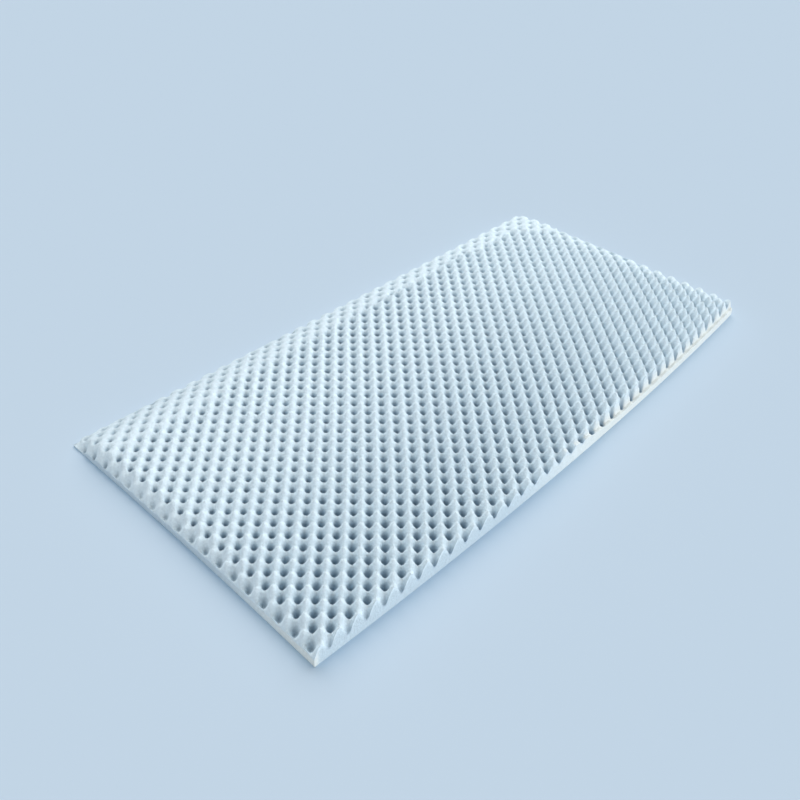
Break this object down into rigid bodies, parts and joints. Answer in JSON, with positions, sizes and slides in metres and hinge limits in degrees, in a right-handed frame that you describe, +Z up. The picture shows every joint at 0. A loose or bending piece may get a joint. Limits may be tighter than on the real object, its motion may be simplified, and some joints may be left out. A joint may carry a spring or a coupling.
{
  "type": "convoluted foam mattress topper",
  "caption": "Bare egg-crate foam slab that lies on a mattress to soften it, with a lattice of rounded peaks and pits on top and a flat underside.",
  "frame": {"origin": "middle of the flat underside, on the surface the topper lies on", "axes": "+X along the slab's length, +Y across it towards its drooping long side, +Z up"},
  "size_m": [1.8104, 0.9364, 0.0671],
  "materials": {
    "foam": "matte, open-cell foam"
  },
  "bodies": {
    "root": {"foam_slab": "foam"}
  },
  "joints": []
}
